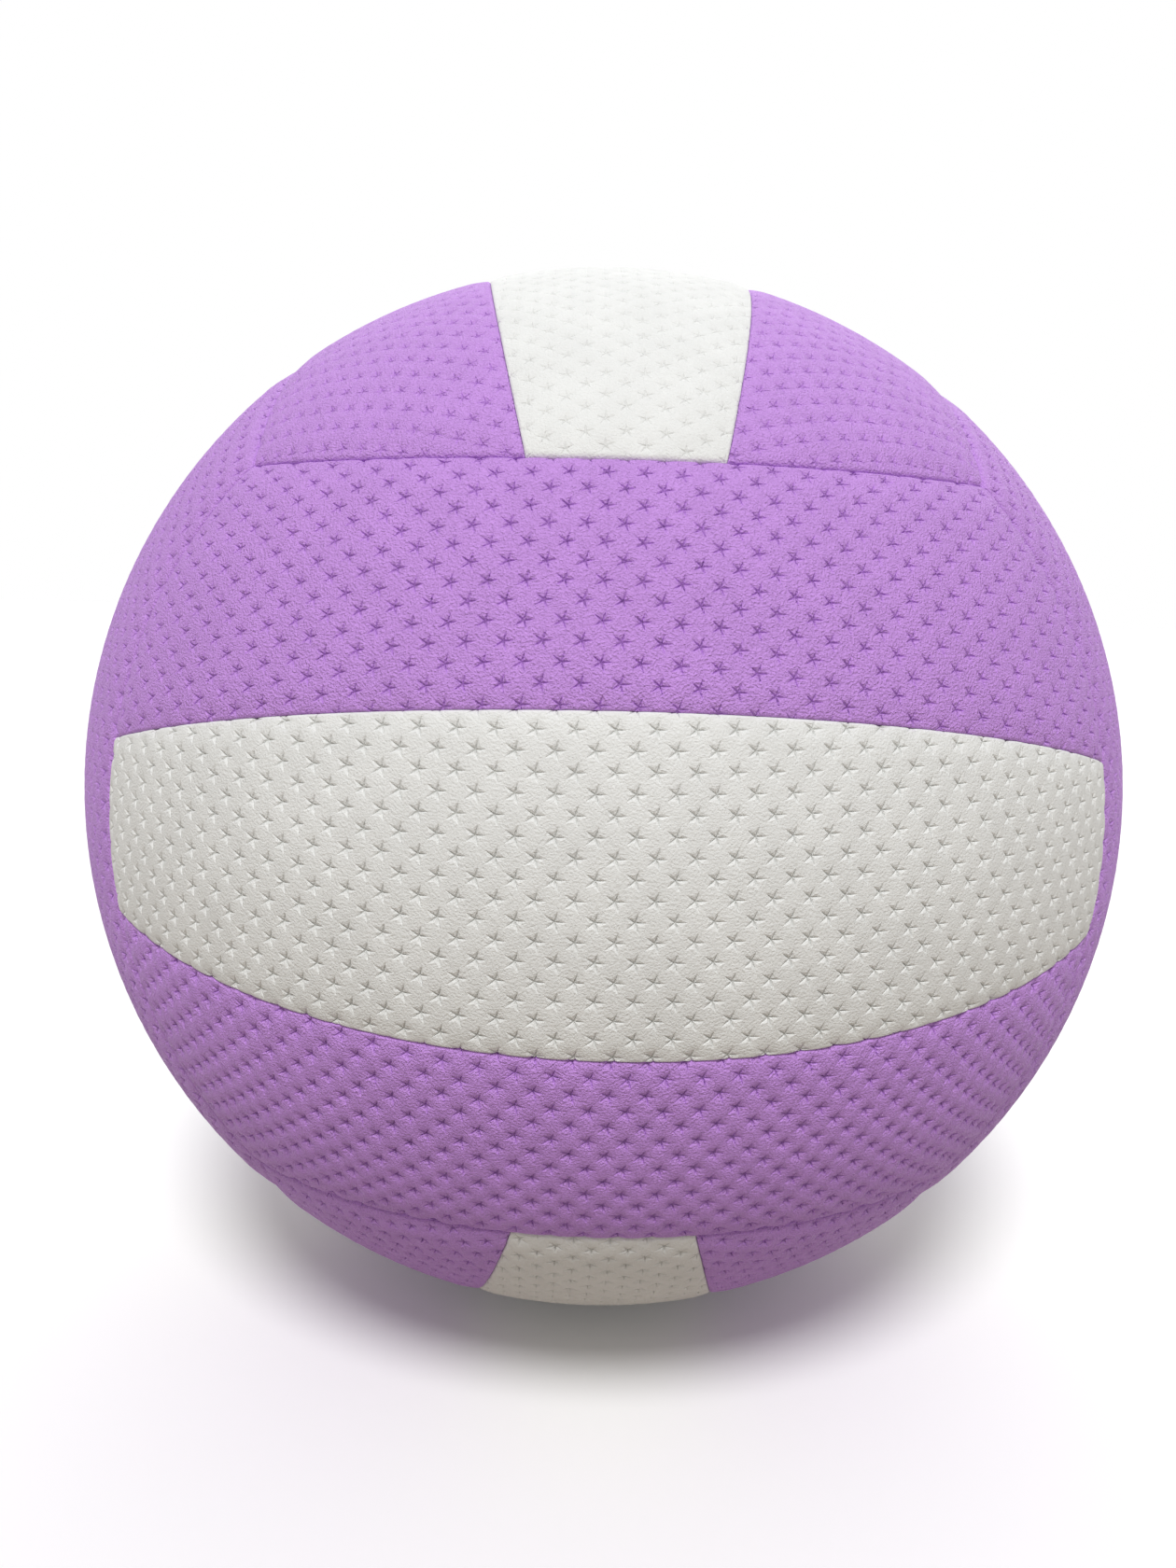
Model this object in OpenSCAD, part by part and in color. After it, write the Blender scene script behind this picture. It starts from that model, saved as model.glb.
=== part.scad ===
// Indoor volleyball: eighteen sewn panels over an air bladder.
// The ball has six faces of three strips each, a middle strip between two outer strips.
// Each panel is a leather cover with turned-in edges, a foam backing and a cloth lining.
// The origin is the ball's centre, +Z is up and the front face looks along -Y.
// The front face's strips run along X, the top's along Y and the sides' along Z.

/* [Ball] */
// Diameter over the crowns of the panels
ball_d = 210; // [190:1:230]
// Half width of a middle strip, as an angle seen from the ball's centre
strip_angle = 13.8; // [11:0.2:17]

/* [Panel layers] */
// Thickness of the synthetic leather cover
cover_t = 1; // [0.7:0.1:1.4]
// Thickness of the foam behind the cover
foam_t = 3; // [2:0.25:4]
// Thickness of the cloth lining behind the foam
lining_t = 0.9; // [0.8:0.1:1.4]

/* [Seams] */
// Depth of the crease at a seam, below the crowns
crease_d = 1.2; // [0.8:0.1:1.6]
// Width of a panel's rolled edge, from the seam to the crown
roll_w = 6.5; // [5:0.25:9]
// Height above the crown at which the rolled edge's arc would end
roll_bite = 0.05; // [0.03:0.01:0.08]
// Diameter of the sewing thread
thread_d = 0.7; // [0.4:0.05:0.8]
// Room between a thread and the linings beside it
thread_room = 0.15; // [0.1:0.05:0.3]
// Gap between the ends of two threads that meet
thread_gap = 0.3; // [0.2:0.05:0.5]

/* [Bladder] */
// Thickness of the bladder's wall
bladder_t = 0.8; // [0.5:0.1:1.4]
// Room between the bladder and the linings
bladder_room = 0.1; // [0.05:0.05:0.25]
// Thickness of the rubber cement between the bladder and the valve
cement_t = 0.1; // [0.05:0.05:0.2]

/* [Valve] */
// Diameter of the valve's neck, which fills the hole in the back panel
neck_d = 8; // [7.5:0.25:11]
// Room between the neck and the layers of the panel
neck_room = 0.3; // [0.1:0.05:0.5]
// Depth of the neck's end below the ball's surface
neck_recess = 0.6; // [0.3:0.1:1]
// Diameter of the flange that seals the valve to the inside of the bladder
flange_d = 26; // [20:1:34]
// Thickness of the flange
flange_t = 1.2; // [0.8:0.1:2]
// Length of the valve's barrel inside the bladder
barrel_l = 12; // [9:0.5:18]
// Diameter of the insert that holds the needle channel
insert_d = 4.6; // [3.8:0.2:5]
// Diameter of the collar that locks the insert in the barrel
collar_d = 6; // [5.4:0.1:6.6]
// Length of the collar
collar_l = 2.4; // [1.5:0.1:3.5]
// Distance from the barrel's inner end to the collar
collar_up = 4; // [2:0.25:5]
// Diameter of the channel for the inflating needle
needle_d = 2; // [1.6:0.1:2.4]
// Diameter of the needle's lead-in at the neck's end
lead_d = 3.2; // [2.8:0.1:3.6]
// Depth of the lead-in
lead_l = 1.2; // [0.6:0.1:2]
// Diameter of the cloth patch round the valve
patch_d = 30; // [22:1:38]
// Thickness of the patch
patch_t = 0.4; // [0.2:0.05:0.6]

/* [Hidden] */
$fn = 144;

// Radius of each surface, from the outside in
r_ball = ball_d / 2;
r_foam = r_ball - cover_t;
r_lining = r_foam - foam_t;
r_inside = r_lining - lining_t;
r_bladder = r_inside - bladder_room;
r_air = r_bladder - bladder_t;
r_neck = r_ball - neck_recess;
r_flange = r_air - cement_t;
r_barrel = r_flange - barrel_l;
r_collar = r_barrel + collar_up;
r_core = r_inside / 2;

// Where three faces meet, all three coordinates are equal, which sets the angle of a face's edge
edge_angle = acos(1 / sqrt(3));
// Half the turn that one edge takes round its circle, and half the length of a strip seam
edge_half_turn = 45;
seam_half_turn = acos(cos(edge_angle) / cos(strip_angle));

// Arc of the rolled edge: it passes through the crease and crests just above the ball
r_crease = r_ball - crease_d;
r_crest = r_ball + roll_bite;
roll_turn = turn_of(roll_w, r_ball);
roll_run2 = r_crest ^ 2 + r_crease ^ 2 - 2 * r_crest * r_crease * cos(roll_turn);
roll_r = roll_run2 / (2 * (r_crest - r_crease * cos(roll_turn)));
roll_over = crease_d / 3;

// Seam threads lie in the lining layer, against the turned-in edges
r_thread = r_lining - thread_d / 2;
channel_w = thread_d + 2 * thread_room;

// Length that reaches past every surface of the ball
reach = 2 * r_ball;
// Overrun of a cut past the surface it goes through
over = crease_d / 2;

// Each face: its name, the turn that carries the front face to it, and its strips' names
FACES = [
    ["front", [0, 0, 0], ["lower", "middle", "upper"]],
    ["back", [0, 0, 180], ["lower", "middle", "upper"]],
    ["top", [-90, 0, 90], ["right", "middle", "left"]],
    ["bottom", [90, 0, 90], ["left", "middle", "right"]],
    ["right", [0, -90, 90], ["back", "middle", "front"]],
    ["left", [0, -90, -90], ["front", "middle", "back"]],
];
STRIPS = [-1, 0, 1];
LAYERS = ["cover", "foam", "lining"];
VALVE_FACE = "back";

function panel_name(face, strip, layer) = str(face[0], "_", face[2][strip + 1], "_", layer);

// Angle in degrees of a length laid along a circle
function turn_of(length, radius) = length / radius * 180 / PI;

// Point of a half section at a distance from the centre and an angle from the axis
function polar(radius, angle) = [radius * sin(angle), radius * cos(angle)];

// Carries a shape round +Z to the front face's own axis, -Y
module to_front() {
    rotate([90, 0, 0])
        rotate([0, 0, 90])
            children();
}

// Carries a shape along +Z to the valve, on +Y
module to_valve() {
    rotate([-90, 0, 0])
        children();
}

// Half section of the panel's side of a seam that lies at an angle from +Z.
// The panel is at larger angles where side is 1, and at smaller ones where it is -1.
module side_profile(seam_at, side, inset) {
    tip = [0, -side * inset / sin(seam_at)];
    far = tip + polar(reach, seam_at);
    polygon([tip, far, [side > 0 ? reach : far[0], -side * reach], [0, -side * reach]]);
}

// Half section of the corner that a rolled edge leaves open
module corner_profile(seam_at, side, depth) {
    start = seam_at + side * turn_of(depth - roll_over, r_ball);
    end = seam_at + side * roll_turn;
    low = r_crease - crease_d - depth;
    high = r_crest + over;
    difference() {
        polygon([polar(low, start), polar(high, start), polar(high, end), polar(low, end)]);
        translate(polar(r_crest - roll_r, end))
            circle(r = roll_r - depth);
    }
}

// Everything on the panel's side of a seam's circle round +Z, its wall moved in by inset
module seam_side(seam_at, side, inset, rolled) {
    rotate_extrude()
        difference() {
            side_profile(seam_at, side, inset);
            if (rolled) corner_profile(seam_at, side, inset);
        }
}

// Solid of a front strip inside a radius, with its walls moved in by inset.
// It stops short of the ball's centre, where its walls would meet.
module strip_solid(strip, radius, inset, rolled) {
    mirror([0, 0, strip < 0 ? 1 : 0])
        intersection() {
            difference() {
                sphere(r = radius);
                sphere(r = r_core);
            }
            to_front() seam_side(edge_angle, -1, inset, rolled);
            rotate([-strip_angle, 0, 0]) seam_side(90, strip == 0 ? 1 : -1, inset, rolled);
            if (strip == 0) rotate([strip_angle, 0, 0]) seam_side(90, -1, inset, rolled);
            else seam_side(edge_angle, 1, inset, rolled);
        }
}

// Hole for the valve's neck, in the back face's middle panel alone
module valve_hole(face, strip) {
    if (face[0] == VALVE_FACE && strip == 0)
        to_valve()
            cylinder(h = reach, d = neck_d + 2 * neck_room);
}

// Disc of the patch round the valve, along +Z from the centre
module patch_disc() {
    intersection() {
        sphere(r = r_inside + patch_t);
        cylinder(h = reach, d = patch_d);
    }
}

// Synthetic leather cover with its edges turned in down to the lining
module cover(face, strip) {
    color(strip == 0 ? "whitesmoke" : "mediumpurple")
        difference() {
            rotate(face[1])
                difference() {
                    strip_solid(strip, r_ball, 0, true);
                    strip_solid(strip, r_foam, cover_t, true);
                    sphere(r = r_lining);
                }
            valve_hole(face, strip);
        }
}

// Foam backing, boxed in by the cover's turned-in edges
module foam(face, strip) {
    color("lightyellow")
        difference() {
            rotate(face[1])
                difference() {
                    strip_solid(strip, r_foam, cover_t, true);
                    sphere(r = r_lining);
                }
            valve_hole(face, strip);
        }
}

// Cloth lining behind the foam, clear of the seam threads
module lining(face, strip) {
    color("lightsteelblue")
        difference() {
            rotate(face[1])
                difference() {
                    strip_solid(strip, r_lining, channel_w / 2, false);
                    sphere(r = r_inside);
                }
            valve_hole(face, strip);
            if (face[0] == VALVE_FACE && strip == 0) to_valve() patch_disc();
        }
}

// Run of thread along a circle at an angle from +Z, half_turn to each side of -Y
module thread_run(seam_at, half_turn) {
    gap = turn_of(thread_gap + thread_d, r_thread);
    rotate([0, 0, gap - half_turn - 90])
        rotate_extrude(angle = 2 * (half_turn - gap))
            translate(polar(r_thread, seam_at))
                circle(d = thread_d);
}

// Sewing thread: one run along each face edge and each strip seam
module seam_threads() {
    color("white") {
        for (face = FACES)
            rotate(face[1])
                for (side = [0, 1])
                    mirror([0, 0, side]) {
                        thread_run(edge_angle, edge_half_turn);
                        rotate([-strip_angle, 0, 0]) thread_run(90, seam_half_turn);
                    }
    }
}

// Air bladder, with a hole for the valve
module bladder() {
    color("dimgray")
        difference() {
            sphere(r = r_bladder);
            sphere(r = r_air);
            to_valve() cylinder(h = reach, d = neck_d + 2 * cement_t);
        }
}

// Rubber valve housing: a neck through the panel, a flange inside the bladder and a barrel
module valve_body() {
    color("black")
        to_valve()
            difference() {
                union() {
                    difference() {
                        intersection() {
                            sphere(r = r_flange);
                            cylinder(h = reach, d = flange_d);
                        }
                        sphere(r = r_flange - flange_t);
                    }
                    translate([0, 0, r_barrel])
                        cylinder(h = r_neck - r_barrel, d = neck_d);
                }
                translate([0, 0, r_barrel - over])
                    cylinder(h = r_neck - r_barrel + 2 * over, d = insert_d);
                translate([0, 0, r_collar])
                    cylinder(h = collar_l, d = collar_d);
            }
}

// Soft plug with a locking collar and the channel for the inflating needle
module valve_insert() {
    color("darkslategray")
        to_valve()
            difference() {
                union() {
                    translate([0, 0, r_barrel])
                        cylinder(h = r_neck - r_barrel, d = insert_d);
                    translate([0, 0, r_collar])
                        cylinder(h = collar_l, d = collar_d);
                }
                translate([0, 0, r_barrel - over])
                    cylinder(h = r_neck - r_barrel + 2 * over, d = needle_d);
                translate([0, 0, r_neck - lead_l])
                    cylinder(h = lead_l, d1 = needle_d, d2 = lead_d);
            }
}

// Cloth patch that holds the lining together round the valve
module valve_patch() {
    color("beige")
        to_valve()
            difference() {
                patch_disc();
                sphere(r = r_inside);
                cylinder(h = reach, d = neck_d + 2 * neck_room);
            }
}

for (face = FACES) {
    for (strip = STRIPS) {
        cover(face, strip);
        foam(face, strip);
        lining(face, strip);
    }
}
seam_threads();
bladder();
valve_body();
valve_insert();
valve_patch();
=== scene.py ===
"""Indoor volleyball: embossed leather covers and a plain studio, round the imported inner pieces.

Each of the eighteen covers is cut, in flat coordinates along and across its strip, from a sheet
with a pressed star pattern, and then wrapped round the ball with its edges rolled to the seams.
"""

import math

import bpy
import numpy as np
from mathutils import Euler, Matrix, Vector
from mathutils.geometry import delaunay_2d_cdt


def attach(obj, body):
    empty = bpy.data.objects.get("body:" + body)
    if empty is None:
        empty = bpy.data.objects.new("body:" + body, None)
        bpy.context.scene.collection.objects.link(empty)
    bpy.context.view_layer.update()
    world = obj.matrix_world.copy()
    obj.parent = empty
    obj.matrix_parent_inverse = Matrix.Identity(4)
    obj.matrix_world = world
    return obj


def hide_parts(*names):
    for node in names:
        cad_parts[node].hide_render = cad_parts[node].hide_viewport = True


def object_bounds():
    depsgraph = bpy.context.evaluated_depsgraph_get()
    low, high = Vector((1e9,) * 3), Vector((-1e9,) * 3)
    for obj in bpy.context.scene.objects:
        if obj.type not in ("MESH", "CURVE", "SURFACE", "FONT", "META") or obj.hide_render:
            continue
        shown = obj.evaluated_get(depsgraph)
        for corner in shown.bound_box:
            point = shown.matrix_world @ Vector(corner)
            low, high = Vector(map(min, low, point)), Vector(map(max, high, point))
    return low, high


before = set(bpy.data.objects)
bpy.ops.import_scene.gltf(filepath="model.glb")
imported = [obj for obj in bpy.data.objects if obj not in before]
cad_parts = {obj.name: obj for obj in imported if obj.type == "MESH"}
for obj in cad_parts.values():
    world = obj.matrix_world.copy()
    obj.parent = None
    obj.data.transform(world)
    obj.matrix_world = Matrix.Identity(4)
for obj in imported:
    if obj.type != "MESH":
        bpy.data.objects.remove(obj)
CAD_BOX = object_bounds()

# Sizes below are in millimetres and angles in degrees
MM = 0.001
BALL_R = CAD_BOX[1].z / MM

# Layout of the panels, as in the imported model: angles from a face's middle to its strip seams,
# to its outer edges and to the middle of its outer strips
STRIP_ANGLE = 13.8
EDGE_ANGLE = math.degrees(math.acos(1 / math.sqrt(3)))
OUTER_MIDDLE = (STRIP_ANGLE + 90 - EDGE_ANGLE) / 2
# Each face's name, its turn from the front face, and its strips' names from low to high
FACES = [
    ("front", (0, 0, 0), ("lower", "middle", "upper")),
    ("back", (0, 0, 180), ("lower", "middle", "upper")),
    ("top", (-90, 0, 90), ("right", "middle", "left")),
    ("bottom", (90, 0, 90), ("left", "middle", "right")),
    ("right", (0, -90, 90), ("back", "middle", "front")),
    ("left", (0, -90, -90), ("front", "middle", "back")),
]
STRIPS = (-1, 0, 1)
VALVE_PANEL = ("back", 0)
VALVE_HOLE_R = 4.3
QUARTER_TURN = math.pi / 2

# Thickness of the leather and the foam, the lining's outer radius and the gap between pieces
COVER_T = 1.0
FOAM_T = 3.0
LINING_R = BALL_R - COVER_T - FOAM_T
CLEARANCE = 0.03

# Rolled edge of a panel: its width and its depth at the seam, of the leather's face and of the foam
FACE_ROLL = (5, 0.42)
FOAM_ROLL = (6.5, 1.25)
# A roll starts where it is this deep, so that it has no faint outer part
ROLL_BITE = 0.05
# Radius of the fold where the leather turns down into the seam
FOLD_R = 0.45
# How much wider and deeper the rolled edge and its fold are where two faces meet
EDGE_SHARE = 1.65
# How sharply the dips of two sides join at a corner
CORNER_POWER = 4

# Pressed star pattern: pitch along the strip, and from row to row, every other row set half a pitch on
PITCH = (5.44, 2.94)
STAR_ARMS = 5
ARM_LENGTH = 1.5
# The knee, where an arm's outline and its valley change slope: how far out, and the half width there
ARM_KNEE = 0.8
ARM_KNEE_W = 0.15
# Radius of the notches between the arms
NOTCH_R = 0.36
STAR_DEPTH = 0.34
KNEE_DEPTH = 0.24
# The leather sinks towards a star's edge: how far at its core, the share of that at its tips,
# and the width of that slope
SHOULDER_DEPTH = 0.16
SHOULDER_TIP_SHARE = 0.45
SHOULDER_W = 0.33
# Where that slope starts, from the star's centre: beyond the tips and between the arms
SHOULDER_RING = (1.75, 0.84)
# Reach of the soft dimple round each star
DIMPLE_R = 1.9
# How hard a panel's stars are pressed: the share of their full depth, and the dimple's depth
PRESS = (1, 0.18)
# No star lies within this radius of the valve
VALVE_RING_R = 8.5

# How the patterns of the panels that the photograph doesn't show differ, as shares of a pitch
PATTERN_STEPS = (0.37, 0.61, 0.53)
PATTERN_TURN = 1.2
# Start, turn, pitch and press of the pattern on the panels that the photograph shows
SEEN_PATTERNS = {
    ("front", 1): ((2.35, -1.17), -1, (5.46, 2.99), (1, 0.1)),
    ("front", 0): ((2.12, 2.05), 1.1, (5.54, 2.94), (1, 0.12)),
    ("front", -1): ((2.1, -0.8), -0.2, (5.43, 2.91), (0.93, 0.36)),
    ("top", 1): ((4.98, -0.7), 0, (5.48, 2.9), (0.72, 0.1)),
    ("top", 0): ((-1.9, 0.15), 0, (5.2, 2.98), (0.55, 0.08)),
    ("top", -1): ((-0.48, -3.45), 0, (5.19, 2.96), (0.72, 0.1)),
}

# Spacing of a cover's points: along its edge, over its face, over its back and round its hole
EDGE_STEP = 1.0
FILL_STEP = 0.86
INNER_STEP = 5.0
HOLE_STEP = EDGE_STEP / 3
# Distances of the edge's inner rings from the seam, and the least gap from a star to a loose point
EDGE_RINGS = (0.08, 0.2, 0.37, 0.6, 0.95, 1.5, 2.4)
STAR_MARGIN = 0.6
# What delaunay_2d_cdt gives back, the triangles of the whole hull, and the gap at which it joins points
HULL_TRIANGLES = 0
JOIN_GAP = 1e-5
# Least half width of an arm, so that nothing is divided by zero at its tip
TINY = 1e-6
# Faces that meet at more than this angle are shaded with a crisp edge
SHARP_ANGLE = 20

# A cover's map: the lengths along and across that fill a band, and the height of each band
MAP_SIZE = (2 * BALL_R, BALL_R / 2)
FACE_BAND, BACK_BAND, RIM_BAND = (0, 0.66), (0.68, 0.84), (0.85, 0.89)
WALL_BAND, LIP_BAND, HOLE_BAND = (0.9, 0.94), (0.95, 0.97), (0.98, 1)

# Colours, as screen values from 0 to 255
PURPLE = (217, 163, 247)
WHITE = (235, 236, 235)
FOAM_COLOURS = ((214, 202, 160), (242, 236, 208))
THREAD_COLOURS = ((206, 204, 198), (238, 237, 232))
LINING_COLOUR = (203, 209, 214)
PATCH_COLOUR = (226, 220, 204)
BLADDER_COLOUR = (74, 72, 72)
VALVE_COLOUR = (38, 38, 40)
INSERT_COLOUR = (58, 58, 60)
# The darkest and lightest share of a colour, in clouds on leather and rubber and in the weave of cloth
LEATHER_SHARES = (1.01, 1.035)
RUBBER_SHARES = (0.94, 1.06)
CLOTH_SHARES = (0.88, 1)

# Painted shade: what the leather's colour is multiplied by in the low pits of its grain and at the
# bottom of its stars' grooves
PURPLE_PIT_SHADE = (0.84, 0.82, 0.84, 1)
WHITE_PIT_SHADE = (0.955, 0.955, 0.95, 1)
PURPLE_GROOVE_SHADE = (0.78, 0.74, 0.78, 1)
WHITE_GROOVE_SHADE = (0.82, 0.82, 0.81, 1)
# Depth of the fine grain, and that of the wrinkles as a share of it
PURPLE_GRAIN = 0.6
WHITE_GRAIN = 0.2
WRINKLE_SHARE = 0.13
# Sizes of the leather's clouds of colour, patches of gloss, wrinkles and pebbles
CLOUD_SIZE = 9
SHINE_SIZE = 1.6
WRINKLE_SIZE = 1.3
PEBBLE_SIZE = 0.36
LEATHER_SPECULAR = 0.2
LEATHER_ROUGHNESS = (0.5, 0.62)
# Where the slope round a star ends and its grooves begin, as a share of its whole depth,
# and how rough the leather is from there on; the grooves' painted shade starts there too
PRESS_EDGE = 0.3
PRESS_ROUGHNESS = 0.28

# Roughness, size of the texture, and depth and strength of its relief
FOAM_LOOK = (0.9, 0.5, 0.1, 0.6)
CLOTH_LOOK = (0.85, 2.2, 0.1, 0.5)
THREAD_LOOK = (0.6, 1.2, 0.12, 0.7)
# How far the cloth's ribs and the thread's twist wander
CLOTH_WAVER = 0.4
THREAD_WAVER = 1
# Rubber: roughness of the bladder, valve and insert, and how far it varies
BLADDER_ROUGHNESS = 0.5
VALVE_ROUGHNESS = 0.5
INSERT_ROUGHNESS = 0.55
RUBBER_VARIES = 0.06
RUBBER_SPECULAR = 0.45
# Size of its bloom, and size, depth and strength of its fine relief
BLOOM_SIZE = 3
RUBBER_RELIEF = (0.3, 0.05, 0.5)
# The range that most of a noise texture's values lie in
NOISE_RANGE = (0.3, 0.7)

# Studio: width of the floor, and the colour of the light that it throws back
FLOOR_SIZE = 40
FLOOR_BOUNCE = (0.4, 0.35, 0.29, 1)
# Light added to the floor as the eye sees it, so that it is white away from the shadow
FLOOR_LIFT = 0.07
# Strength of the dome of light, level with the ball and overhead
DOME_LOW = 0.33
DOME_HIGH = 0.52
# Strength, spread and direction of each lamp: the main one high in front and a weak one behind
LAMPS = {
    "main": (2.2, 17, (-0.03, -0.59, 0.8)),
    "behind": (0.75, 60, (0.15, 0.87, 0.47)),
}

# Camera, in ball radii from the centre: where it stands and what it looks at, with its roll
CAMERA_AT = (-0.0721, -2.5771, 0.3699)
CAMERA_AIM = (-0.0278, 0, 0.0032)
CAMERA_ROLL = 1.53
CAMERA_LENS = 28.67
SENSOR_W = 36
CLIP_START = 0.01


def turn_about(axis, start, end):
    """Turn from start to end about an axis."""
    axis, start, end = Vector(axis), Vector(start), Vector(end)
    a = start - axis * axis.dot(start)
    b = end - axis * axis.dot(end)
    return math.atan2(axis.dot(a.cross(b)), a.dot(b))


def seams_of(strip):
    """A front strip's sides, anticlockwise from the low one, each as a circle's axis and angle."""
    s, c = math.sin(math.radians(STRIP_ANGLE)), math.cos(math.radians(STRIP_ANGLE))
    edge = math.radians(EDGE_ANGLE)
    end = ((0, -1, 0), edge)
    low = {
        -1: ((0, 0, 1), math.pi - edge),
        0: ((0, -s, c), QUARTER_TURN),
        1: ((0, s, c), QUARTER_TURN),
    }
    high = {
        -1: ((0, s, -c), QUARTER_TURN),
        0: ((0, -s, -c), QUARTER_TURN),
        1: ((0, 0, -1), math.pi - edge),
    }
    return [low[strip], end, high[strip], end]


def seam_distances(directions, strip):
    """Distance of each direction's point from each side of a strip, along the ball's surface."""
    low, end, high, _ = seams_of(strip)
    rows = []
    for axis, angle in (low, end, high):
        polar = np.arccos(np.clip(directions @ np.array(axis), -1, 1))
        rows.append(BALL_R * (angle - polar))
    return np.array(rows)


def corner(first, second, inset, side):
    """Direction where two sides of a strip cross, both moved in by inset, to the left or right."""
    (n1, a1), (n2, a2) = first, second
    n1, n2 = np.array(n1, float), np.array(n2, float)
    c1, c2 = math.cos(a1 - inset / BALL_R), math.cos(a2 - inset / BALL_R)
    d = n1 @ n2
    base = ((c1 - d * c2) * n1 + (c2 - d * c1) * n2) / (1 - d * d)
    along = np.cross(n1, n2)
    along *= side * np.sign(along[0])
    return base + along * math.sqrt((1 - base @ base) / (along @ along))


def outline(strip, inset, step):
    """Directions along a strip's edge, anticlockwise, about a step apart and moved in by inset."""
    seams = seams_of(strip)
    sides = (-1, 1, 1, -1)
    corners = [corner(seams[i - 1], seams[i], inset, sides[i]) for i in range(len(seams))]
    points = []
    for i, (axis, _) in enumerate(seams):
        start, end = corners[i], corners[(i + 1) % len(seams)]
        turn = turn_about(axis, start, end)
        radius = np.linalg.norm(np.cross(axis, start))
        count = max(2, math.ceil(abs(turn) * radius * BALL_R / step))
        for k in range(count):
            spin = Matrix.Rotation(turn * k / count, 3, Vector(axis))
            points.append(spin @ Vector(start))
    return np.array(points)


def strip_middle(strip):
    """Angle of a strip's middle line above the face's own, in radians."""
    return math.radians(strip * OUTER_MIDDLE)


def flatten(directions, strip):
    """Flat coordinates of points on the ball, along and across a strip."""
    phi = np.arcsin(directions[:, 0])
    theta = np.arctan2(directions[:, 2], -directions[:, 1])
    across = BALL_R * (theta - strip_middle(strip)) * np.cos(phi)
    return np.stack([BALL_R * phi, across], 1)


def wrap(flat, strip):
    """Directions from the ball's centre of flat points on a front strip."""
    phi = flat[:, 0] / BALL_R
    theta = strip_middle(strip) + flat[:, 1] / (BALL_R * np.cos(phi))
    return np.stack([np.sin(phi), -np.cos(phi) * np.cos(theta), np.cos(phi) * np.sin(theta)], 1)


def roll_dip(distance, roll):
    """How far a rolled edge has dropped below the crown at a distance from its seam."""
    width, depth = roll
    reach = np.clip(1 - distance / width, 0, None)
    return np.clip(depth * reach ** 2 - ROLL_BITE, 0, None)


def fold_dip(distance):
    """How far the leather has turned down into the seam, on a quarter circle."""
    run = np.clip(FOLD_R - distance, 0, FOLD_R)
    return FOLD_R - np.sqrt(FOLD_R ** 2 - run ** 2)


def joined(dips):
    """One dip from those of all sides, rounded where two sides meet."""
    return (dips ** CORNER_POWER).sum(0) ** (1 / CORNER_POWER)


def edge_shares(strip):
    """How wide and deep the rolled edge is along each side of a strip."""
    sides = seams_of(strip)[:3]
    return np.array([[1 if angle == QUARTER_TURN else EDGE_SHARE] for _, angle in sides])


class Pattern:
    """The star pattern of one panel."""

    def __init__(self, start, turn, pitch, press, clear):
        """Takes the lattice's start, turn and pitch, the press, and the plain ring's radius."""
        self.start = np.array(start)
        self.turn = math.radians(turn)
        self.pitch, self.row_pitch = pitch
        self.clear = clear
        self.star_share, self.dimple_depth = press

    def spin(self, points, sign):
        """Points turned with the pattern, or back where the sign is -1."""
        c, s = math.cos(self.turn), math.sin(self.turn) * sign
        return points @ np.array([[c, s], [-s, c]])

    def nearest(self, points):
        """Each point's offset from the nearest star, in the pattern's own axes."""
        local = self.spin(points - self.start, -1)
        best = np.full((len(points), 2), np.inf)
        for step in (-1, 0, 1):
            row = np.round(local[:, 1] / self.row_pitch) + step
            shift = (row % 2) / 2
            column = np.round(local[:, 0] / self.pitch - shift) + shift
            gap = local - np.stack([column * self.pitch, row * self.row_pitch], 1)
            closer = (gap ** 2).sum(1) < (best ** 2).sum(1)
            best[closer] = gap[closer]
        return best

    def stars_near(self, reach):
        """Centres of the stars whose lattice place lies within reach of the start."""
        rows = int(reach / self.row_pitch) + 1
        columns = int(reach / self.pitch) + 1
        places = [
            ((column + row % 2 / 2) * self.pitch, row * self.row_pitch)
            for row in range(-rows, rows + 1)
            for column in range(-columns, columns + 1)
        ]
        centres = self.spin(np.array(places), 1) + self.start
        return centres[np.hypot(centres[:, 0], centres[:, 1]) > self.clear]

    def pressed(self, points, offsets):
        """Whether the nearest star is pressed: none is within the plain ring round the valve."""
        centres = points - self.spin(offsets, 1)
        return np.hypot(centres[:, 0], centres[:, 1]) > self.clear


def arm_axes(offsets):
    """Offsets from a star's centre as distances along and across the nearest arm."""
    sector = 2 * math.pi / STAR_ARMS
    angle = np.arctan2(offsets[:, 1], offsets[:, 0])
    angle -= np.round(angle / sector) * sector
    length = np.hypot(offsets[:, 0], offsets[:, 1])
    return length * np.cos(angle), np.abs(length * np.sin(angle))


def groove_width(along):
    """Half width of a star's arm at a distance from its centre."""
    half = math.pi / STAR_ARMS
    knots = (NOTCH_R * math.cos(half), ARM_KNEE, ARM_LENGTH)
    return np.interp(along, knots, (NOTCH_R * math.sin(half), ARM_KNEE_W, 0))


def groove_depth(offsets):
    """Depth of the pressed star's own groove at offsets from its centre."""
    along, across = arm_axes(offsets)
    valley = np.interp(along, (0, ARM_KNEE, ARM_LENGTH), (STAR_DEPTH, KNEE_DEPTH, 0))
    width = np.maximum(groove_width(along), TINY)
    return valley * np.clip(1 - across / width, 0, 1)


def star_gap(along, across):
    """Distance from a star's outline of points outside it."""
    beside = np.clip(across - groove_width(along), 0, None)
    beyond = np.clip(along - ARM_LENGTH, 0, None)
    return np.hypot(beside, beyond)


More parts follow.
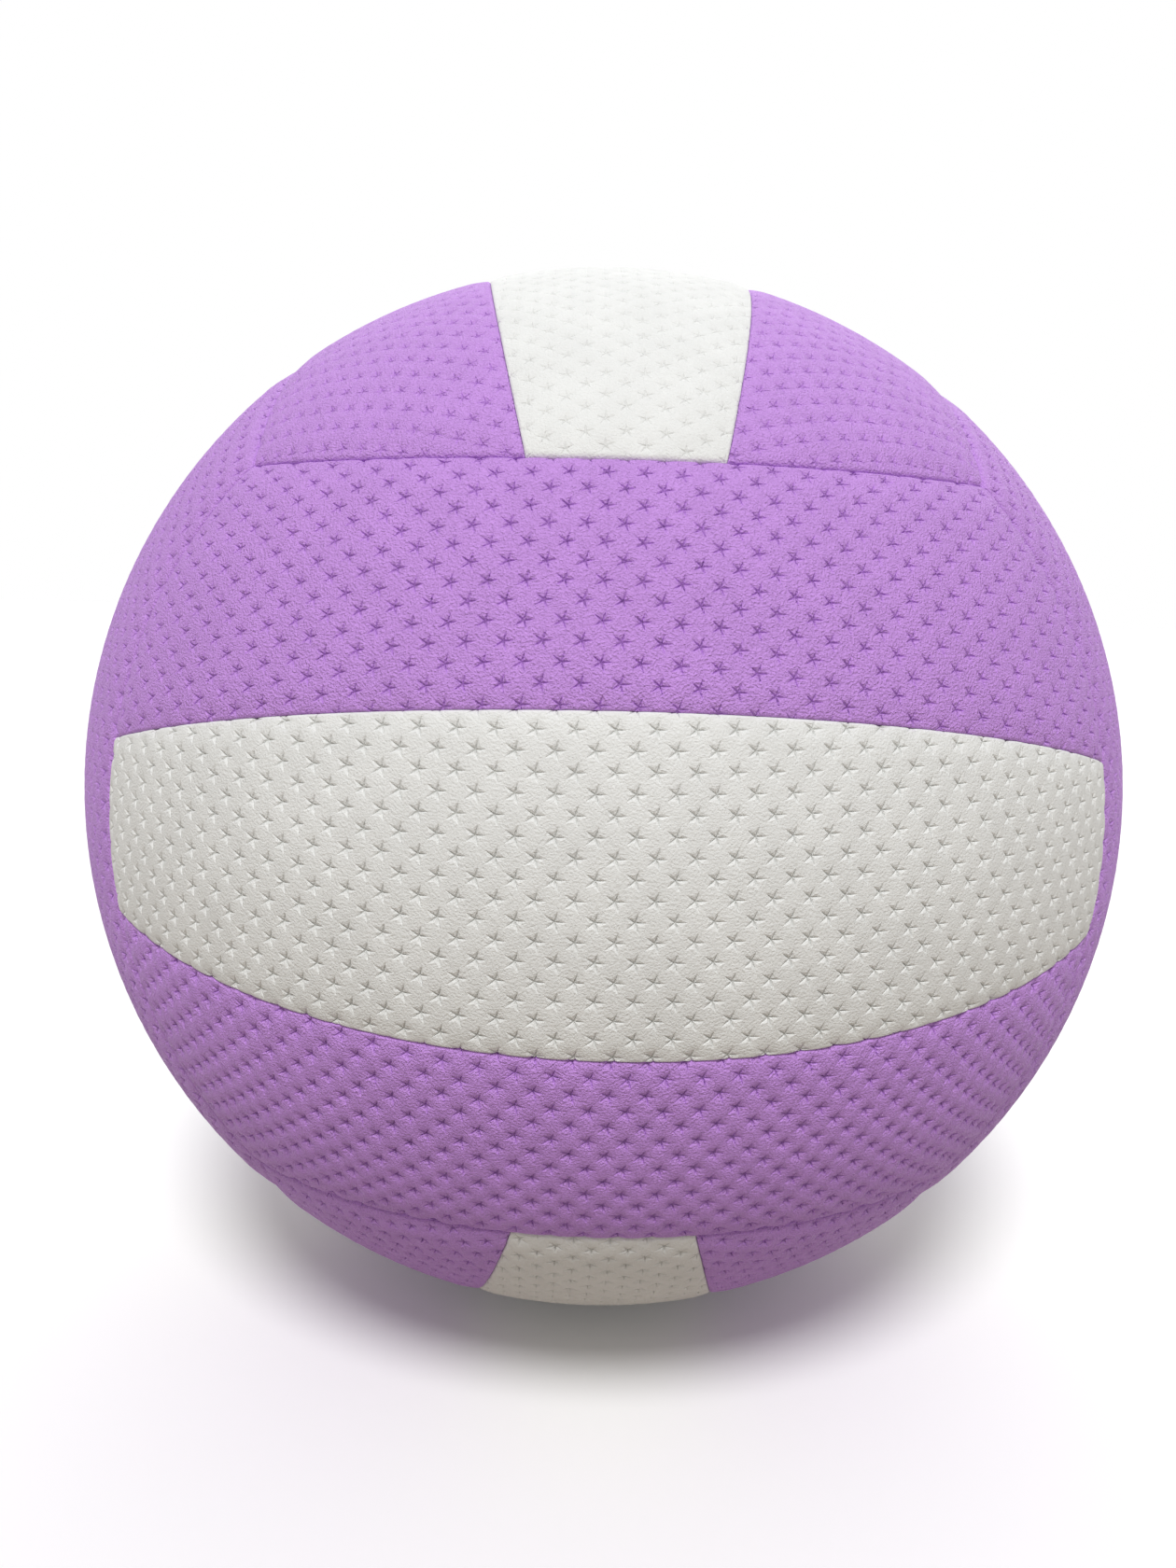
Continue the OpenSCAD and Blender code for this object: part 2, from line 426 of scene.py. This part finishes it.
def shoulder_depth(offsets):
    """How far the leather has sunk round a star, at offsets from its centre."""
    along, across = arm_axes(offsets)
    gap = star_gap(along, across)
    depth = np.interp(along, (0, ARM_LENGTH), (SHOULDER_DEPTH, SHOULDER_DEPTH * SHOULDER_TIP_SHARE))
    return depth * np.clip(1 - gap / SHOULDER_W, 0, 1)


def outer_face(flat, strip, pattern):
    """Radius of the leather's face at flat points, and how far a star has sunk each, from 0 to 1."""
    shares = edge_shares(strip)
    distances = seam_distances(wrap(flat, strip), strip) / shares
    dip = joined(shares * roll_dip(distances, FACE_ROLL)) + joined(shares * fold_dip(distances))
    offsets = pattern.nearest(flat)
    dimple = pattern.dimple_depth * np.exp(-((offsets ** 2).sum(1)) / (2 * (DIMPLE_R / 2) ** 2))
    pressed = pattern.pressed(flat, offsets)
    star = (groove_depth(offsets) + shoulder_depth(offsets)) * pattern.star_share * pressed
    return BALL_R - dip - dimple * pressed - star, star / (STAR_DEPTH + SHOULDER_DEPTH)


def inner_radius(flat, strip):
    """Radius of the leather's back, just clear of the foam."""
    distances = seam_distances(wrap(flat, strip), strip)
    crease = joined(roll_dip(distances, FOAM_ROLL))
    return BALL_R - COVER_T - crease + CLEARANCE


def closed_edges(first, count):
    """Edges of a closed loop of points numbered from first."""
    return [(first + k, first + (k + 1) % count) for k in range(count)]


def star_net(centres, pattern):
    """Points and edges of the pressed stars: each one's outline, valleys and shoulder ring."""
    half = math.pi / STAR_ARMS
    arms = [2 * half * arm for arm in range(STAR_ARMS)]
    knee_turn = math.atan2(ARM_KNEE_W, ARM_KNEE)
    knee_r = math.hypot(ARM_KNEE, ARM_KNEE_W)

    # The centre, and the outline with a knee, a tip, a knee and a notch to each arm
    polar, tips = [(0, 0)], []
    for at in arms:
        polar += [(knee_r, at - knee_turn), (ARM_LENGTH, at)]
        tips.append(len(polar) - 1)
        polar += [(knee_r, at + knee_turn), (NOTCH_R, at + half)]
    edges = closed_edges(1, len(polar) - 1)

    # The valleys, from the centre over each knee to the tip
    for at, tip in zip(arms, tips):
        knee = len(polar)
        polar.append((ARM_KNEE, at))
        edges += [(0, knee), (knee, tip)]

    # The ring where the shoulder starts
    first = len(polar)
    for at in arms:
        polar += [(SHOULDER_RING[0], at), (SHOULDER_RING[1], at + half)]
    edges += closed_edges(first, len(polar) - first)

    star = np.array([(r * math.cos(t), r * math.sin(t)) for r, t in polar])
    star = pattern.spin(star, 1)
    points = (centres[:, None] + star[None]).reshape(-1, 2)
    starts = np.arange(len(centres)) * len(star)
    all_edges = (starts[:, None, None] + np.array(edges)[None]).reshape(-1, 2)
    return points, all_edges


def fill_points(strip, pattern, step, edge, hole_r):
    """An even field of points inside a strip, clear of its edge rings, its stars and its hole."""
    half_l, half_w = BALL_R, BALL_R / 2
    rows = np.arange(-half_w, half_w, step * math.sqrt(3) / 2)
    columns = np.arange(-half_l, half_l, step)
    grid = np.array([(x + step / 2 * (i % 2), y) for i, y in enumerate(rows) for x in columns])
    grid = grid[np.abs(grid[:, 0]) < BALL_R * math.radians(EDGE_ANGLE)]
    inside = seam_distances(wrap(grid, strip), strip).min(0) > edge
    if hole_r:
        inside &= np.hypot(grid[:, 0], grid[:, 1]) > hole_r + step / 2
    grid = grid[inside]
    if pattern is None:
        return grid
    offsets = pattern.nearest(grid)
    near = star_gap(*arm_axes(offsets)) < STAR_MARGIN
    return grid[~(near & pattern.pressed(grid, offsets))]


def circle_points(radius, step):
    """Flat points round the valve hole, about a step apart."""
    turn = 2 * math.pi
    angles = np.linspace(0, turn, math.ceil(turn * radius / step), False)
    return np.array([(radius * math.cos(t), radius * math.sin(t)) for t in angles])


def triangulate(parts, keep):
    """Points and triangles of a net of loops, stars and loose points, where keep says inside."""
    points = np.concatenate([p for p, _ in parts])
    starts = np.cumsum([0] + [len(p) for p, _ in parts])
    edges = np.concatenate([np.array(e, int).reshape(-1, 2) + s for (_, e), s in zip(parts, starts)])
    points = [Vector(p) for p in points]
    net = delaunay_2d_cdt(points, edges.tolist(), [], HULL_TRIANGLES, JOIN_GAP, False)
    flat, _, triangles = net[:3]
    flat = np.array([tuple(p) for p in flat])
    triangles = np.array(triangles)
    triangles = triangles[keep(flat[triangles].mean(1))]
    used, triangles = np.unique(triangles, return_inverse=True)
    return flat[used], triangles.reshape(-1, 3)


def rims(triangles):
    """Loops of points round a net of triangles, the longest first, each with the net on its left."""
    edges = np.concatenate([triangles[:, [0, 1]], triangles[:, [1, 2]], triangles[:, [2, 0]]])
    pairs = set(map(tuple, edges.tolist()))
    follow = {a: b for a, b in pairs if (b, a) not in pairs}
    loops = []
    while follow:
        start, at = follow.popitem()
        loop = [start]
        while at != start:
            loop.append(at)
            at = follow.pop(at)
        loops.append(np.array(loop))
    return sorted(loops, key=len, reverse=True)


def stitch(outer, inner):
    """Triangles between two loops that run the same way, numbered through the outer one first."""
    count, inner_count = len(outer), len(inner)
    start = ((inner - outer[0]) ** 2).sum(1).argmin()
    triangles, i, j = [], 0, 0
    while i < count or j < inner_count:
        here, ahead = i % count, (i + 1) % count
        there, beyond = (start + j) % inner_count, (start + j + 1) % inner_count
        nearer = math.dist(outer[ahead], inner[there]) <= math.dist(outer[here], inner[beyond])
        if j == inner_count or (i < count and nearer):
            triangles.append((here, ahead, count + there))
            i += 1
        else:
            triangles.append((here, count + beyond, count + there))
            j += 1
    return np.array(triangles)


class Skin:
    """A mesh in the making: points on the ball, and triangles with their corners' places on the map."""

    def __init__(self, strip):
        self.strip = strip
        self.points, self.press, self.triangles, self.places = [], [], [], []
        self.count = 0

    def add_points(self, flat, radius, press=0):
        """Adds flat points at a radius, with how far a star has sunk each, and gives their ids."""
        self.points.append(wrap(flat, self.strip) * np.reshape(radius, (-1, 1)))
        self.press.append(np.broadcast_to(press, len(flat)))
        first = self.count
        self.count += len(flat)
        return np.arange(first, self.count)

    def add_net(self, ids, triangles, flat, band, outward):
        """Adds a net of triangles whose map lies in a band of the unit square."""
        if not outward:
            triangles = triangles[:, ::-1]
        low, high = band
        place = flat / MAP_SIZE + 0.5
        place[:, 1] = low + (high - low) * place[:, 1]
        self.triangles.append(ids[triangles])
        self.places.append(place[triangles])

    def add_wall(self, upper, lower, band):
        """Joins two loops of as many points by a wall that faces away from the net on their left."""
        count = len(upper)
        low, high = band
        # Corners of each step of the wall: the upper loop's two, then the lower one's
        ids, places = [], []
        for loop, height in ((upper, high), (lower, low)):
            for step in (0, 1):
                ids.append(np.roll(loop, -step))
                along = (np.arange(count) + step) / count
                places.append(np.stack([along, np.full(count, height)], 1))
        for corners in ((0, 2, 3), (0, 3, 1)):
            self.triangles.append(np.stack([ids[c] for c in corners], 1))
            self.places.append(np.stack([places[c] for c in corners], 1))

    def finish(self, name, turn):
        """Makes the object, turned to its own face, with its map and how far its stars have sunk."""
        points = np.concatenate(self.points) * MM
        points = points @ np.array(Euler([math.radians(a) for a in turn]).to_matrix()).T
        triangles = np.concatenate(self.triangles)
        places = np.concatenate(self.places)
        mesh = bpy.data.meshes.new(name)
        mesh.vertices.add(len(points))
        mesh.vertices.foreach_set("co", points.ravel())
        mesh.loops.add(triangles.size)
        mesh.loops.foreach_set("vertex_index", triangles.ravel().astype(np.int32))
        mesh.polygons.add(len(triangles))
        mesh.polygons.foreach_set("loop_start", np.arange(len(triangles), dtype=np.int32) * 3)
        mesh.update(calc_edges=True)
        mesh.validate()
        layer = mesh.uv_layers.new(name="OFBake")
        layer.data.foreach_set("uv", places.ravel())
        press = mesh.attributes.new("press", "FLOAT", "POINT")
        press.data.foreach_set("value", np.concatenate(self.press).astype(np.float32))
        mesh.set_sharp_from_angle(angle=math.radians(SHARP_ANGLE))
        piece = bpy.data.objects.new(name, mesh)
        bpy.context.collection.objects.link(piece)
        return piece


def inside_of(strip, inset, hole_r):
    """A test of flat points: inside a strip's edge, moved in by inset, and outside its hole."""
    def keep(points):
        inside = seam_distances(wrap(points, strip), strip).min(0) > inset
        if hole_r:
            inside &= np.hypot(points[:, 0], points[:, 1]) > hole_r
        return inside
    return keep


def ring_of(strip, inset, step):
    """A strip's edge, moved in by inset, as a closed loop of flat points."""
    flat = flatten(outline(strip, inset, step), strip)
    return flat, closed_edges(0, len(flat))


def face_net(strip, pattern, hole_r):
    """Flat points and triangles of a cover's outer face."""
    hole = circle_points(hole_r, HOLE_STEP) if hole_r else np.zeros((0, 2))
    centres = pattern.stars_near(BALL_R)
    centres = centres[seam_distances(wrap(centres, strip), strip).min(0) > -ARM_LENGTH]
    fill = fill_points(strip, pattern, FILL_STEP, EDGE_RINGS[-1] + FILL_STEP / 2, hole_r)
    parts = [ring_of(strip, inset, EDGE_STEP) for inset in (CLEARANCE, *EDGE_RINGS)]
    parts += [(hole, closed_edges(0, len(hole))), star_net(centres, pattern), (fill, [])]
    return triangulate(parts, inside_of(strip, CLEARANCE, hole_r))


def back_net(strip, hole_r, cut):
    """Flat points and triangles of a cover's back, with the points of its hole's cut."""
    inset, inner = COVER_T - CLEARANCE, 2 * COVER_T
    fill = fill_points(strip, None, INNER_STEP, inner + INNER_STEP / 2, hole_r)
    parts = [ring_of(strip, inset, INNER_STEP), ring_of(strip, inner, INNER_STEP)]
    parts += [(cut, closed_edges(0, len(cut))), (fill, [])]
    return triangulate(parts, inside_of(strip, inset, hole_r))


def leather_panel(face, strip, pattern, hole_r):
    """One embossed cover: its face, its edges turned in down to the lining, and its back on the foam."""
    name, turn, strip_names = face
    skin = Skin(strip)

    # Outer face
    flat, triangles = face_net(strip, pattern, hole_r)
    outer = skin.add_points(flat, *outer_face(flat, strip, pattern))
    skin.add_net(outer, triangles, flat, FACE_BAND, True)
    edge, *holes = rims(triangles)

    # Turned-in edge, down to the lining
    foot = skin.add_points(flat[edge], LINING_R + CLEARANCE)
    skin.add_wall(outer[edge], foot, WALL_BAND)

    # Back, on the foam
    cut = flat[holes[0]] if hole_r else np.zeros((0, 2))
    back_flat, back_triangles = back_net(strip, hole_r, cut)
    back = skin.add_points(back_flat, inner_radius(back_flat, strip))
    skin.add_net(back, back_triangles, back_flat, BACK_BAND, False)
    lip, *back_holes = rims(back_triangles)
    lip_foot = skin.add_points(back_flat[lip], LINING_R + CLEARANCE)
    skin.add_wall(lip_foot, back[lip], LIP_BAND)

    # Rim that joins the feet of the two walls
    feet = np.concatenate([foot, lip_foot])
    rim_flat = np.concatenate([flat[edge], back_flat[lip]])
    skin.add_net(feet, stitch(flat[edge], back_flat[lip]), rim_flat, RIM_BAND, False)

    # Wall of the valve hole
    if hole_r:
        ring = match(cut, back_flat, back_holes[0])
        skin.add_wall(outer[holes[0]], back[ring], HOLE_BAND)
    return skin.finish(f"{name}_{strip_names[strip + 1]}_leather", turn)


def match(points, others, ids):
    """The ids of the others that lie at the same places as points."""
    gaps = ((points[:, None] - others[ids][None]) ** 2).sum(2)
    return ids[gaps.argmin(1)]


def pattern_of(face_name, strip):
    """A panel's star pattern: its own if the photograph shows the panel, or else one by a rule."""
    number = len(STRIPS) * [face[0] for face in FACES].index(face_name) + strip + 1
    shares = [(number * step) % 1 for step in PATTERN_STEPS]
    start = (shares[0] * PITCH[0], shares[1] * PITCH[1])
    turn = (2 * shares[2] - 1) * PATTERN_TURN
    clear = VALVE_RING_R if (face_name, strip) == VALVE_PANEL else 0
    return Pattern(*SEEN_PATTERNS.get((face_name, strip), (start, turn, PITCH, PRESS)), clear)


def linear(colour, share=1):
    """A share of a screen colour as the linear red, green, blue and alpha that shaders take."""
    channels = [c / 255 * share for c in colour]
    return [c / 12.92 if c <= 0.04045 else ((c + 0.055) / 1.055) ** 2.4 for c in channels] + [1]


def shades(colour, shares):
    """The dark and light shade of a screen colour."""
    return [linear(colour, share) for share in shares]


def new_material(name, **sockets):
    """A material with one Principled shader, and its constant values set on the shader's own sockets."""
    material = bpy.data.materials.new(name)
    material.use_nodes = True
    shader = material.node_tree.nodes["Principled BSDF"]
    for socket, value in sockets.items():
        shader.inputs[socket.replace("_", " ")].default_value = value
    return material, shader


def texture(material, kind, size_mm, **sockets):
    """A procedural texture over the object's own coordinates, with features of about the given size."""
    tree = material.node_tree
    place = tree.nodes.get("Texture Coordinate") or tree.nodes.new("ShaderNodeTexCoord")
    node = tree.nodes.new(kind)
    node.inputs["Scale"].default_value = 1 / (size_mm * MM)
    for socket, value in sockets.items():
        node.inputs[socket.replace("_", " ")].default_value = value
    tree.links.new(place.outputs["Object"], node.inputs["Vector"])
    return node


def spread(material, source, low, high, middle=NOISE_RANGE):
    """A texture's output, carried from its own middle range to the range given."""
    node = material.node_tree.nodes.new("ShaderNodeMapRange")
    node.inputs["From Min"].default_value = middle[0]
    node.inputs["From Max"].default_value = middle[1]
    node.inputs["To Min"].default_value = low
    node.inputs["To Max"].default_value = high
    material.node_tree.links.new(source, node.inputs["Value"])
    return node.outputs["Result"]


def blend_colours(material, shader, factor, first, second):
    """Sets the shader's colour to a mix of two, by a texture."""
    node = material.node_tree.nodes.new("ShaderNodeMix")
    node.data_type = "RGBA"
    node.inputs["A"].default_value = first
    node.inputs["B"].default_value = second
    links = material.node_tree.links
    links.new(factor, node.inputs["Factor"])
    links.new(node.outputs["Result"], shader.inputs["Base Color"])
    return node


def darken(material, shader, tint, factor, shade):
    """Multiplies an earlier mix of colours by a shade where a texture is high."""
    node = material.node_tree.nodes.new("ShaderNodeMix")
    node.data_type = "RGBA"
    node.blend_type = "MULTIPLY"
    node.inputs["B"].default_value = shade
    links = material.node_tree.links
    links.new(tint.outputs["Result"], node.inputs["A"])
    links.new(factor, node.inputs["Factor"])
    links.new(node.outputs["Result"], shader.inputs["Base Color"])
    return node


def add_bump(material, shader, height, depth_mm, strength, under=None):
    """Adds relief from a texture, over an earlier bump if there is one."""
    node = material.node_tree.nodes.new("ShaderNodeBump")
    node.inputs["Distance"].default_value = depth_mm * MM
    node.inputs["Strength"].default_value = strength
    links = material.node_tree.links
    links.new(height, node.inputs["Height"])
    if under:
        links.new(under.outputs["Normal"], node.inputs["Normal"])
    links.new(node.outputs["Normal"], shader.inputs["Normal"])
    return node


def leather(name, colour, pore_shade, press_shade, grain_depth):
    """Satin synthetic leather: pebbled grain, wrinkles, faint clouds of colour and gloss, and painted
    shade in the grain's pits and the stars' grooves.
    """
    material, shader = new_material(name, Specular_IOR_Level=LEATHER_SPECULAR)
    clouds = texture(material, "ShaderNodeTexNoise", CLOUD_SIZE, Detail=3)
    cloudy = spread(material, clouds.outputs["Fac"], 0, 1)
    tint = blend_colours(material, shader, cloudy, *shades(colour, LEATHER_SHARES))
    pebbles = texture(material, "ShaderNodeTexNoise", PEBBLE_SIZE, Detail=2, Roughness=0.6)
    # Painted shade in the pits of the pebbled grain, where its bump is low
    pores = spread(material, pebbles.outputs["Fac"], 1, 0)
    tint = darken(material, shader, tint, pores, pore_shade)

    # The pressed stars are glossier, and their grooves get a painted shade, darker towards their bottom
    pressed = material.node_tree.nodes.new("ShaderNodeAttribute")
    pressed.attribute_name = "press"
    deep = spread(material, pressed.outputs["Fac"], 0, 1, (PRESS_EDGE, 1))
    darken(material, shader, tint, deep, press_shade)
    ironed = spread(material, pressed.outputs["Fac"], 0, 1, (0, PRESS_EDGE))
    shine = texture(material, "ShaderNodeTexNoise", SHINE_SIZE, Detail=2)
    gloss = spread(material, shine.outputs["Fac"], *LEATHER_ROUGHNESS)
    smooth = material.node_tree.nodes.new("ShaderNodeMix")
    smooth.inputs["B"].default_value = PRESS_ROUGHNESS
    links = material.node_tree.links
    links.new(ironed, smooth.inputs["Factor"])
    links.new(gloss, smooth.inputs["A"])
    links.new(smooth.outputs["Result"], shader.inputs["Roughness"])

    waves = texture(material, "ShaderNodeTexNoise", WRINKLE_SIZE, Detail=2)
    low = add_bump(material, shader, waves.outputs["Fac"], grain_depth * WRINKLE_SHARE, 1)
    add_bump(material, shader, pebbles.outputs["Fac"], grain_depth, 1, low)
    return material


def foam():
    """Closed-cell foam with fine pores."""
    roughness, size, depth, strength = FOAM_LOOK
    material, shader = new_material("foam_cells", Roughness=roughness)
    pores = texture(material, "ShaderNodeTexVoronoi", size).outputs["Distance"]
    blend_colours(material, shader, pores, *map(linear, FOAM_COLOURS))
    add_bump(material, shader, pores, depth, strength)
    return material


def cloth(name, colour):
    """Woven cloth: two crossed sets of ribs."""
    roughness, size, depth, strength = CLOTH_LOOK
    material, shader = new_material(name, Roughness=roughness)
    ribs = texture(material, "ShaderNodeTexWave", size, Distortion=CLOTH_WAVER)
    cross = texture(material, "ShaderNodeTexWave", size, Distortion=CLOTH_WAVER)
    cross.bands_direction = "Z"
    blend_colours(material, shader, ribs.outputs["Fac"], *shades(colour, CLOTH_SHARES))
    low = add_bump(material, shader, ribs.outputs["Fac"], depth, strength)
    add_bump(material, shader, cross.outputs["Fac"], depth, strength, low)
    return material


def thread():
    """Twisted bonded sewing thread."""
    roughness, size, depth, strength = THREAD_LOOK
    material, shader = new_material("twisted_thread", Roughness=roughness)
    twist = texture(material, "ShaderNodeTexWave", size, Distortion=THREAD_WAVER)
    twist.bands_direction = "DIAGONAL"
    blend_colours(material, shader, twist.outputs["Fac"], *map(linear, THREAD_COLOURS))
    add_bump(material, shader, twist.outputs["Fac"], depth, strength)
    return material


def rubber(name, colour, rough):
    """Moulded rubber with a faint bloom and a fine matt surface."""
    material, shader = new_material(name, Specular_IOR_Level=RUBBER_SPECULAR)
    bloom = texture(material, "ShaderNodeTexNoise", BLOOM_SIZE, Detail=4).outputs["Fac"]
    blend_colours(material, shader, spread(material, bloom, 0, 1), *shades(colour, RUBBER_SHARES))
    gloss = spread(material, bloom, rough - RUBBER_VARIES, rough + RUBBER_VARIES)
    material.node_tree.links.new(gloss, shader.inputs["Roughness"])
    size, depth, strength = RUBBER_RELIEF
    fine = texture(material, "ShaderNodeTexNoise", size, Detail=3)
    add_bump(material, shader, fine.outputs["Fac"], depth, strength)
    return material


def dress(node, material):
    """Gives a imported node's own object a material."""
    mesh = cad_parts[node].data
    mesh.materials.clear()
    mesh.materials.append(material)


def make_panels():
    """The eighteen leather covers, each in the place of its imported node."""
    white = leather("white_leather", WHITE, WHITE_PIT_SHADE, WHITE_GROOVE_SHADE, WHITE_GRAIN)
    purple = leather("purple_leather", PURPLE, PURPLE_PIT_SHADE, PURPLE_GROOVE_SHADE, PURPLE_GRAIN)
    for face in FACES:
        for strip in STRIPS:
            hole_r = VALVE_HOLE_R if (face[0], strip) == VALVE_PANEL else 0
            piece = leather_panel(face, strip, pattern_of(face[0], strip), hole_r)
            piece.data.materials.append(white if strip == 0 else purple)
            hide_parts(f"{face[0]}_{face[2][strip + 1]}_cover")
            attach(piece, "root")


def dress_nodes():
    """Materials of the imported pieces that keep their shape."""
    foam_cells, lining = foam(), cloth("lining_weave", LINING_COLOUR)
    for face in FACES:
        for strip_name in face[2]:
            dress(f"{face[0]}_{strip_name}_foam", foam_cells)
            dress(f"{face[0]}_{strip_name}_lining", lining)
    dress("seam_threads", thread())
    dress("bladder", rubber("bladder_rubber", BLADDER_COLOUR, BLADDER_ROUGHNESS))
    dress("valve_body", rubber("valve_rubber", VALVE_COLOUR, VALVE_ROUGHNESS))
    dress("valve_insert", rubber("insert_rubber", INSERT_COLOUR, INSERT_ROUGHNESS))
    dress("valve_patch", cloth("patch_weave", PATCH_COLOUR))


def seen_or_lit(tree, for_eye, for_light):
    """One shader for camera, glossy and transmission rays, and another for all other rays."""
    path = tree.nodes.new("ShaderNodeLightPath")
    total = path.outputs["Is Camera Ray"]
    for ray in ("Is Glossy Ray", "Is Transmission Ray"):
        add = tree.nodes.new("ShaderNodeMath")
        add.operation = "MAXIMUM"
        tree.links.new(total, add.inputs[0])
        tree.links.new(path.outputs[ray], add.inputs[1])
        total = add.outputs[0]
    mix = tree.nodes.new("ShaderNodeMixShader")
    tree.links.new(total, mix.inputs[0])
    tree.links.new(for_light, mix.inputs[1])
    tree.links.new(for_eye, mix.inputs[2])
    return mix.outputs[0]


def floor():
    """A plain pale floor under the ball: white to the eye, and dimmer in what it throws back."""
    bpy.ops.mesh.primitive_plane_add(size=FLOOR_SIZE, location=(0, 0, CAD_BOX[0].z))
    plane = bpy.context.object
    plane.name = "floor"
    material = bpy.data.materials.new("pale_floor")
    material.use_nodes = True
    tree = material.node_tree
    tree.nodes.remove(tree.nodes["Principled BSDF"])
    eye, light = [tree.nodes.new("ShaderNodeBsdfDiffuse") for _ in range(2)]
    eye.inputs["Color"].default_value = (1, 1, 1, 1)
    light.inputs["Color"].default_value = FLOOR_BOUNCE
    lift = tree.nodes.new("ShaderNodeEmission")
    lift.inputs["Strength"].default_value = FLOOR_LIFT
    white = tree.nodes.new("ShaderNodeAddShader")
    tree.links.new(eye.outputs[0], white.inputs[0])
    tree.links.new(lift.outputs[0], white.inputs[1])
    shown = seen_or_lit(tree, white.outputs[0], light.outputs[0])
    tree.links.new(shown, tree.nodes["Material Output"].inputs["Surface"])
    plane.data.materials.append(material)


def sky():
    """The world: plain white to the eye, and a soft dome, brightest overhead, to the object."""
    world = bpy.data.worlds.new("studio")
    bpy.context.scene.world = world
    world.use_nodes = True
    tree = world.node_tree
    eye = tree.nodes["Background"]
    eye.inputs["Color"].default_value = (1, 1, 1, 1)
    dome = tree.nodes.new("ShaderNodeBackground")
    place = tree.nodes.new("ShaderNodeTexCoord")
    split = tree.nodes.new("ShaderNodeSeparateXYZ")
    rise = tree.nodes.new("ShaderNodeMapRange")
    tree.links.new(place.outputs["Generated"], split.inputs[0])
    tree.links.new(split.outputs["Z"], rise.inputs["Value"])
    rise.inputs["From Min"].default_value = 0
    rise.inputs["To Min"].default_value = DOME_LOW
    rise.inputs["To Max"].default_value = DOME_HIGH
    tree.links.new(rise.outputs[0], dome.inputs["Strength"])
    shown = seen_or_lit(tree, eye.outputs[0], dome.outputs[0])
    tree.links.new(shown, tree.nodes["World Output"].inputs["Surface"])


def lamps():
    """The two soft lamps."""
    for name, (strength, spread_angle, start) in LAMPS.items():
        light = bpy.data.lights.new(name, "SUN")
        light.energy = strength
        light.angle = math.radians(spread_angle)
        holder = bpy.data.objects.new(name, light)
        holder.rotation_euler = Vector(start).to_track_quat("Z", "Y").to_euler()
        bpy.context.collection.objects.link(holder)


def camera():
    """The camera at the photograph's place, aimed and rolled as it was."""
    data = bpy.data.cameras.new("camera")
    data.lens, data.sensor_width = CAMERA_LENS, SENSOR_W
    data.clip_start, data.clip_end = CLIP_START, 2 * FLOOR_SIZE
    holder = bpy.data.objects.new("camera", data)
    radius = BALL_R * MM
    holder.location = Vector(CAMERA_AT) * radius
    level = (Vector(CAMERA_AIM) - Vector(CAMERA_AT)).to_track_quat("-Z", "Y").to_matrix()
    roll = Matrix.Rotation(math.radians(CAMERA_ROLL), 3, "Z")
    holder.rotation_euler = (level @ roll).to_euler()
    bpy.context.collection.objects.link(holder)
    bpy.context.scene.camera = holder


make_panels()
dress_nodes()
floor()
sky()
lamps()
camera()
bpy.context.scene.view_settings.view_transform = "Standard"
